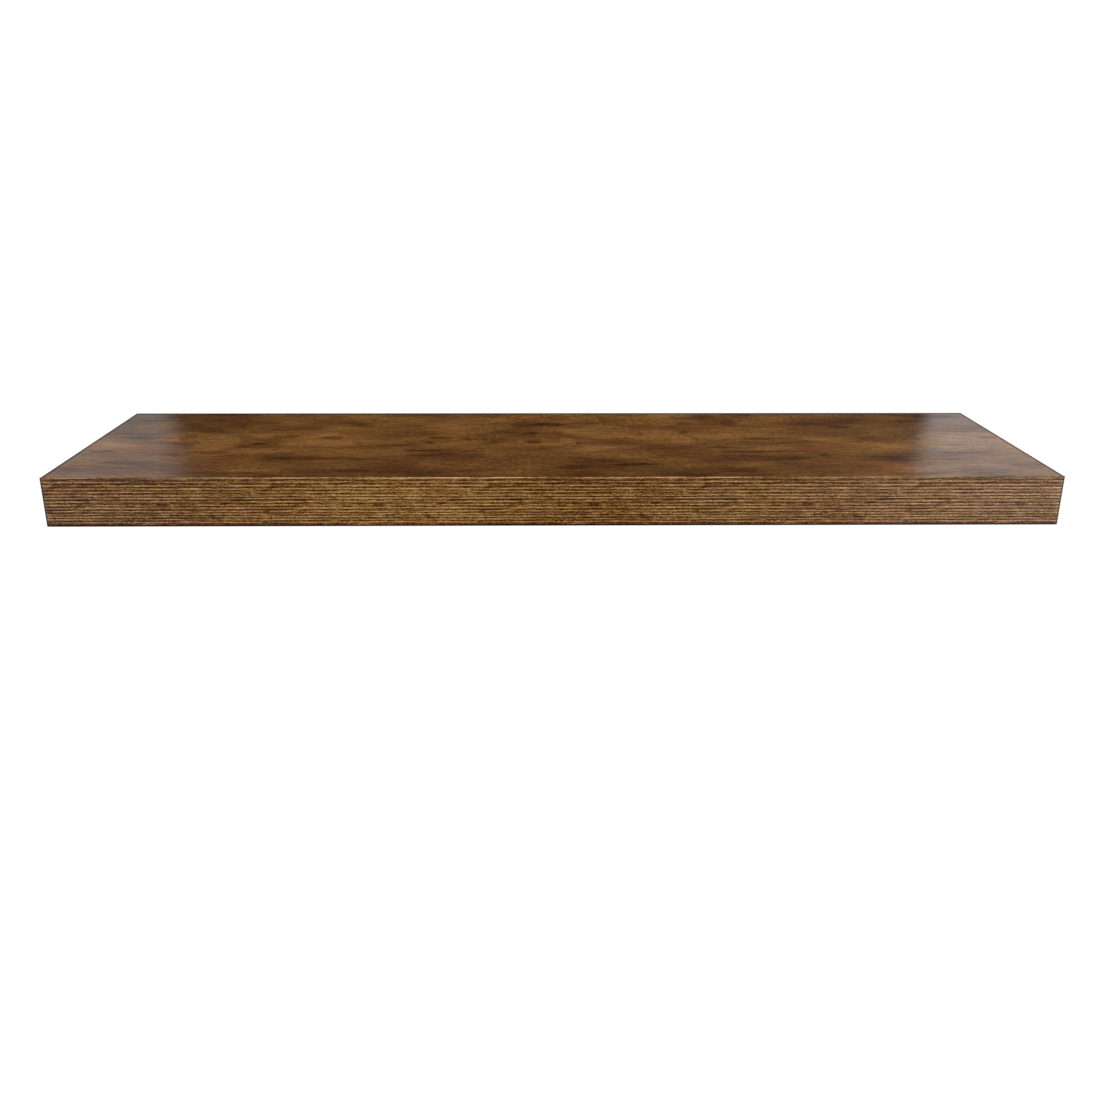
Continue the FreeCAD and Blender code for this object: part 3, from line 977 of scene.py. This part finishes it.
def coated_steel(name, rubbed):
    """Steel under the black powder coat."""
    material, tree = new_material(name)
    coat = use_group(tree, powder_coat, {"Vector": own_place(tree), "Rubbed": rubbed})
    set_surface(
        tree,
        {
            "Base Color": coat["Color"],
            "Metallic": coat["Metal"],
            "Roughness": coat["Roughness"],
            "Normal": relief(tree, coat["Height"], 0.5, 0.00025),
        },
    )
    return material


plate_coat = coated_steel("coated_steel", 0.06)
dress(["bracket_plate"], plate_coat)
dress(["left_rod", "middle_rod", "right_rod"], coated_steel("coated_steel_rubbed", 0.5))


# Welds
# A fillet weld all round the foot of each rod, about 3 mm high, with the scaly ripples that the
# pool left as it froze. The same black coat lies over it.

rod_spacing = 0.3
rod_radius = 0.006
plate_front = -0.004
weld_leg = 0.003
weld_bulge = 0.0002
ripple_depth = 0.00022
ripple_count = 26
ripple_bow = 2.2
weld_steps = 208
slope_points = 8
sink = 0.00007
slant = math.sqrt(0.5)


def make_weld(name, x):
    """The weld round the rod at x. Its slope is rippled, and its two feet lie on rod and plate."""
    outline = [(rod_radius - sink, plate_front + sink), (rod_radius + weld_leg, plate_front + sink)]
    for step in range(slope_points + 1):
        share = weld_leg * step / slope_points
        outline.append((rod_radius + weld_leg - share, plate_front - share))
    outline.append((rod_radius - sink, plate_front - weld_leg))
    shape = bmesh.new()
    bmesh.ops.create_circle(shape, segments=len(outline), radius=rod_radius)
    for vert, (radius, y) in zip(shape.verts[:], outline):
        vert.co = Vector((x + radius, y, 0))
    bmesh.ops.spin(
        shape,
        geom=shape.verts[:] + shape.edges[:],
        cent=(x, 0, 0),
        axis=(0, 1, 0),
        angle=math.radians(360),
        steps=weld_steps,
        use_merge=True,
    )
    for vert in shape.verts:
        arm = Vector((vert.co.x - x, vert.co.z))
        share = (rod_radius + weld_leg - arm.length) / weld_leg
        if vert.co.y > plate_front - sink or share > 1 - sink / weld_leg:
            continue
        angle = math.atan2(arm.y, arm.x)
        turn = ripple_count * angle / 2 + ripple_bow * (share - 0.5) ** 2
        ripple = 1 - abs(math.sin(turn + 0.5 * noise.noise(Vector((angle * 3, x * 50, 1)))))
        lift = math.sin(math.pi * share) * (weld_bulge - ripple_depth * ripple)
        arm_out = arm.normalized() * lift * slant
        vert.co += Vector((arm_out.x, -lift * slant, arm_out.y))
    bmesh.ops.recalc_face_normals(shape, faces=shape.faces)
    piece = new_piece(f"{name}_rippled", shape, plate_coat)
    shade_smooth(piece, 60)
    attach(piece, "wall_bracket")
    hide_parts(name)


make_weld("left_weld", -rod_spacing)
make_weld("middle_weld", 0.0)
make_weld("right_weld", rod_spacing)


# Threaded inserts
# Turned brass, pressed into the underside from below. Its flange lies flush with the foil, is
# faintly rough from turning, and is a little tarnished and greasy.

brass, tree = new_material("insert_brass")
place = own_place(tree)
tarnish = cloud(tree, place, (0.004, 0.004, 0.004), 4.0, 0.6)
turning = cloud(tree, place, (0.0004, 0.0004, 0.0004), 2.0, 0.6, (3, 3, 3))
brass_colour = ramp(
    tree,
    tarnish,
    ((0.3, paint(150, 112, 52)), (0.5, paint(196, 158, 84)), (0.7, paint(214, 180, 108))),
)
set_surface(
    tree,
    {
        "Base Color": brass_colour,
        "Metallic": 1.0,
        "Roughness": fade(tree, tarnish, 0.3, 0.7, 0.5, 0.28),
        "Normal": relief(tree, turning, 0.2, 0.0001),
    },
)
dress(["left_lock_insert", "right_lock_insert"], brass)


# Locking screws
# M6 set screws of zinc-plated steel, with a rolled thread, a chamfer at both ends and a socket for
# a 3 mm hex key in the lower end. They press up against the rods and hold the board.

screw_radius = 0.00295
screw_bottom, screw_top = -0.0223, -0.0063
lock_y = -0.05
end_chamfer = 0.0006
thread_depth = 0.00054
thread_pitch = 0.001
crest_flat = 1 / 8
root_flat = 1 / 4
socket_depth = 0.0035
socket_chamfer = 0.0002
half_key = 0.0015
rows_per_turn = 10
screw_columns = 48


def no_reach(angle, height):
    """The middle of the screw."""
    return 0


def hex_reach(angle, height):
    """Distance from the socket's middle to its wall. A corner lies at angle 0."""
    return half_key / math.cos(angle % math.radians(60) - math.radians(30))


def mouth_reach(angle, height):
    """The socket's mouth, which is widened by its chamfer."""
    return hex_reach(angle, height) + socket_chamfer


def thread_reach(angle, height):
    """Radius of the threaded outside, cut down to the chamfers at both ends."""
    turn = (height / thread_pitch - angle / math.radians(360)) % 1
    off_root = (1 - root_flat) / 2 - abs(turn - 0.5)
    flank = min(1.0, max(0.0, off_root / ((1 - root_flat - crest_flat) / 2)))
    chamfer = screw_radius - end_chamfer + min(height - screw_bottom, screw_top - height)
    return min(screw_radius - thread_depth * (1 - flank), chamfer)


def make_lock_screw(name, body, x):
    """Rings from the middle of the socket's floor outwards, up the thread and in over the top."""
    floor = screw_bottom + socket_depth
    rings = [(floor, no_reach), (floor, hex_reach)]
    rings.append((screw_bottom + socket_chamfer, hex_reach))
    rings.append((screw_bottom, mouth_reach))
    row_count = round((screw_top - screw_bottom) / thread_pitch * rows_per_turn)
    for row in range(row_count + 1):
        height = screw_bottom + (screw_top - screw_bottom) * row / row_count
        rings.append((height, thread_reach))
    rings.append((screw_top, no_reach))

    shape = bmesh.new()
    last = len(rings) - 1
    bmesh.ops.create_grid(shape, x_segments=screw_columns, y_segments=last, size=0.5)
    for vert in shape.verts:
        height, reach = rings[round((vert.co.y + 0.5) * last)]
        angle = math.radians(360) * round((vert.co.x + 0.5) * screw_columns) / screw_columns
        arm = reach(angle, height)
        vert.co = Vector((x + arm * math.cos(angle), lock_y + arm * math.sin(angle), height))
    bmesh.ops.remove_doubles(shape, verts=shape.verts, dist=1e-7)
    bmesh.ops.recalc_face_normals(shape, faces=shape.faces)
    piece = new_piece(f"{name}_threaded", shape, zinc)
    shade_smooth(piece, 25)
    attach(piece, body)
    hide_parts(name)


zinc, tree = new_material("zinc_steel")
place = own_place(tree)
spangle = cloud(tree, place, (0.0012, 0.0012, 0.0012), 3.0, 0.6)
stain_field = cloud(tree, place, (0.003, 0.003, 0.003), 3.0, 0.6, (6, 6, 6))
zinc_colour = ramp(
    tree,
    spangle,
    ((0.3, paint(146, 150, 156)), (0.55, paint(186, 190, 196)), (0.75, paint(206, 208, 208))),
)
zinc_colour = tinted(tree, zinc_colour, fade(tree, stain_field, 0.5, 0.7), paint(226, 218, 196))
set_surface(
    tree,
    {
        "Base Color": zinc_colour,
        "Metallic": 1.0,
        "Roughness": fade(tree, spangle, 0.3, 0.7, 0.4, 0.26),
    },
)
make_lock_screw("left_lock_screw", "left_lock", -rod_spacing)
make_lock_screw("right_lock_screw", "right_lock", rod_spacing)
